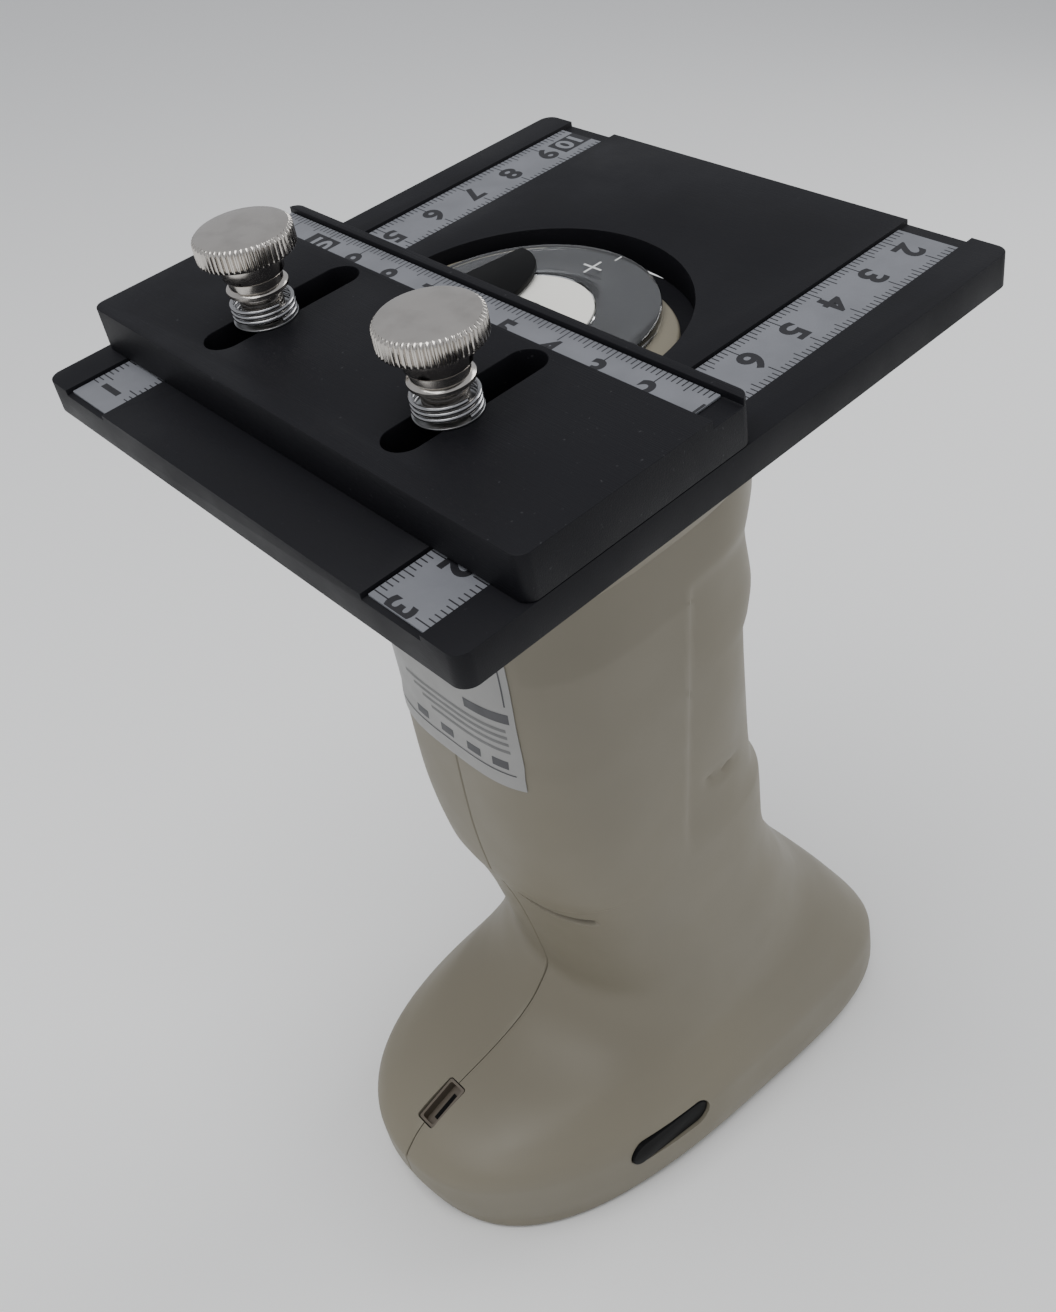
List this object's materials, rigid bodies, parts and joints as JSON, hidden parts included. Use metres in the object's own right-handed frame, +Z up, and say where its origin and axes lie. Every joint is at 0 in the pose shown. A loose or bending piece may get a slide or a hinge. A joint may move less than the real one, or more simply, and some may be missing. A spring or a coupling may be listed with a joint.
{
  "type": "colorimeter with sample stage",
  "caption": "Hand-held colour-measuring instrument standing upside down on its display face, with a sliding-fence sample stage clamped round its measuring nose.",
  "frame": {"origin": "centre of the bounding box's footprint, on the surface the object stands on", "axes": "+Z up, +X across the stage plate from its left side to its right side, +Y from the user's side of the plate to its far side; the plate's top face is tipped 11.5 degrees about +X"},
  "size_m": [0.11, 0.1612, 0.2223],
  "materials": {
    "black_anodised": "black anodised, fine machining lines, satin",
    "steel_tape": "dull white-grey steel tape with black graduations",
    "nickel": "bright nickel plate, knurled rim",
    "spring_steel": "bright drawn wire",
    "zinc_screw": "zinc plated",
    "cream_plastic": "warm cream moulded ABS, very fine texture",
    "warm_grey_plastic": "warm grey moulded ABS",
    "clear_acrylic": "clear polished acrylic",
    "white_target": "matte white diffusing plastic",
    "dark_plastic": "black moulded plastic",
    "circuit_board": "green solder mask",
    "cell_wrap": "printed sleeve over a metal can",
    "label_paper": "silver-grey polyester label, blank"
  },
  "bodies": {
    "instrument": {"aperture_disc": "white_target", "battery_cell": "cell_wrap", "battery_tray": "dark_plastic", "coil_spring_left": "spring_steel", "coil_spring_right": "spring_steel", "collar_screw_1": "zinc_screw", "collar_screw_2": "zinc_screw", "collar_screw_3": "zinc_screw", "collar_screw_4": "zinc_screw", "display_bezel": "warm_grey_plastic", "display_panel": "dark_plastic", "display_window": "clear_acrylic", "flat_washer_left": "zinc_screw", "flat_washer_right": "zinc_screw", "lamp_board": "circuit_board", "main_board": "circuit_board", "measure_spring": "spring_steel", "measure_switch": "dark_plastic", "mount_collar": "black_anodised", "nose_cover": "cream_plastic", "port_socket": "dark_plastic", "rating_label": "label_paper", "scale_left": "steel_tape", "scale_right": "steel_tape", "sensor_barrel": "dark_plastic", "shell_left": "cream_plastic", "shell_right": "cream_plastic", "shell_screw_1": "zinc_screw", "shell_screw_2": "zinc_screw", "shell_screw_3": "zinc_screw", "shell_screw_4": "zinc_screw", "sphere_lower": "white_target", "sphere_upper": "white_target", "stage_plate": "black_anodised", "target_ring": "clear_acrylic"},
    "fence": {"fence_plate": "black_anodised", "fence_scale": "steel_tape", "fence_tab": "black_anodised"},
    "screw_left": {"thumb_screw_left": "nickel"},
    "screw_right": {"thumb_screw_right": "nickel"},
    "measuring_button": {"measure_button": "cream_plastic"},
    "power_switch": {"power_button": "dark_plastic"},
    "key_left": {"menu_key_left": "warm_grey_plastic"},
    "key_middle": {"menu_key_middle": "warm_grey_plastic"},
    "key_right": {"menu_key_right": "warm_grey_plastic"}
  },
  "joints": [
    {"name": "fence_slide", "type": "slide", "parent": "instrument", "child": "fence", "axis": [0, 0.9799, 0.1994], "range_m": [-0.0151, 0.0085]},
    {"name": "clamp_screw_left", "type": "hinge", "parent": "instrument", "child": "screw_left", "pos_m": [-0.0245, -0.05296, 0.19722], "axis": [0, -0.1994, 0.9799], "range_deg": [0, 360]},
    {"name": "clamp_screw_right", "type": "hinge", "parent": "instrument", "child": "screw_right", "pos_m": [0.0223, -0.05296, 0.19722], "axis": [0, -0.1994, 0.9799], "range_deg": [0, 360]},
    {"name": "measure_press", "type": "slide", "parent": "instrument", "child": "measuring_button", "axis": [0, -0.9799, -0.1994], "range_m": [0, 0.0015], "stiffness_N_per_m": 600, "springref_m": -0.0015, "deforming": ["measure_spring"]},
    {"name": "power_press", "type": "slide", "parent": "instrument", "child": "power_switch", "axis": [-0.9971, 0.0752, 0.0153], "range_m": [0, 0.001], "stiffness_N_per_m": 600, "springref_m": -0.001},
    {"name": "key_left_press", "type": "slide", "parent": "instrument", "child": "key_left", "axis": [0, 0, 1], "range_m": [0, 0.0008], "stiffness_N_per_m": 500, "springref_m": -0.001},
    {"name": "key_middle_press", "type": "slide", "parent": "instrument", "child": "key_middle", "axis": [0, 0, 1], "range_m": [0, 0.0008], "stiffness_N_per_m": 500, "springref_m": -0.001},
    {"name": "key_right_press", "type": "slide", "parent": "instrument", "child": "key_right", "axis": [0, 0, 1], "range_m": [0, 0.0008], "stiffness_N_per_m": 500, "springref_m": -0.001}
  ]
}
